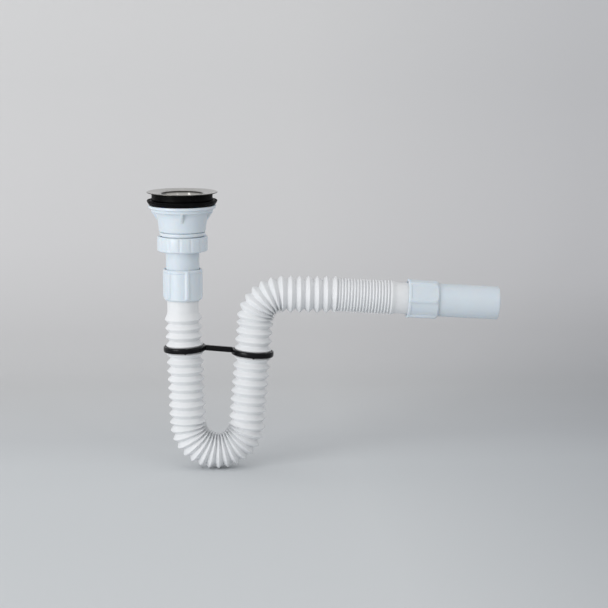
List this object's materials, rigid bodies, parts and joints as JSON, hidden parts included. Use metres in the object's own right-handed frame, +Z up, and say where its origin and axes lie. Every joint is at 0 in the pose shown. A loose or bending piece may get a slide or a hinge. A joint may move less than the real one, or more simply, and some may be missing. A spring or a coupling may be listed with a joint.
{
  "type": "flexible sink trap",
  "caption": "Strainer waste with a white bellows hose bent into a U trap, held by a twin-ring clip, leading to a straight outlet pipe.",
  "frame": {"origin": "on the waste's vertical axis, in the plane where the sink's sheet is clamped between the two seals", "axes": "+Z up along the waste's axis, +X along the way the outlet arm leaves, +Y to the back of the trap's plane"},
  "size_m": [0.3515, 0.07, 0.28],
  "materials": {
    "fitting_plastic": "smooth injection-moulded white plastic with a slight blue cast, satin",
    "hose_plastic": "blow-moulded white plastic, soft sheen",
    "black_rubber": "moulded black rubber, matte",
    "black_plastic": "moulded black plastic, matte with a soft sheen",
    "stainless_steel": "pressed stainless steel, finely polished",
    "brass": "turned brass"
  },
  "bodies": {
    "waste": {"strainer_flange": "stainless_steel", "centre_screw": "stainless_steel", "threaded_insert": "brass", "upper_seal": "black_rubber", "lower_seal": "black_rubber", "waste_body": "fitting_plastic"},
    "upper_nut": {"upper_nut": "fitting_plastic"},
    "tailpiece": {"tailpiece_washer": "black_rubber", "tailpiece": "fitting_plastic"},
    "lower_nut": {"lower_nut": "fitting_plastic"},
    "hose": {"inlet_slip_ring": "fitting_plastic", "inlet_washer": "black_rubber", "hose": "hose_plastic", "hose_clip": "black_plastic"},
    "outlet": {"outlet_sleeve": "fitting_plastic", "outlet_washer": "black_rubber"},
    "outlet_pipe": {"outlet_pipe": "fitting_plastic"},
    "outlet_nut": {"outlet_nut": "fitting_plastic"}
  },
  "joints": [
    {"name": "upper_nut_turn", "type": "hinge", "parent": "waste", "child": "upper_nut", "pos_m": [0, 0, -0.0436], "axis": [0, 0, 1], "continuous": true},
    {"name": "tailpiece_swivel", "type": "hinge", "parent": "waste", "child": "tailpiece", "pos_m": [0, 0, -0.048], "axis": [0, 0, 1], "continuous": true},
    {"name": "lower_nut_turn", "type": "hinge", "parent": "tailpiece", "child": "lower_nut", "pos_m": [0, 0, -0.084], "axis": [0, 0, 1], "continuous": true},
    {"name": "hose_swivel", "type": "hinge", "parent": "tailpiece", "child": "hose", "pos_m": [0, 0, -0.09], "axis": [0, 0, 1], "continuous": true},
    {"name": "arm_extend", "type": "slide", "parent": "hose", "child": "outlet", "axis": [0.998, 0, -0.0628], "range_m": [-0.03, 0.09], "deforming": ["hose"]},
    {"name": "outlet_pipe_turn", "type": "hinge", "parent": "outlet", "child": "outlet_pipe", "pos_m": [0.23921, 0, -0.1018], "axis": [0.998, 0, -0.0628], "continuous": true},
    {"name": "outlet_nut_turn", "type": "hinge", "parent": "outlet_pipe", "child": "outlet_nut", "pos_m": [0.23921, 0, -0.1018], "axis": [0.998, 0, -0.0628], "continuous": true}
  ]
}
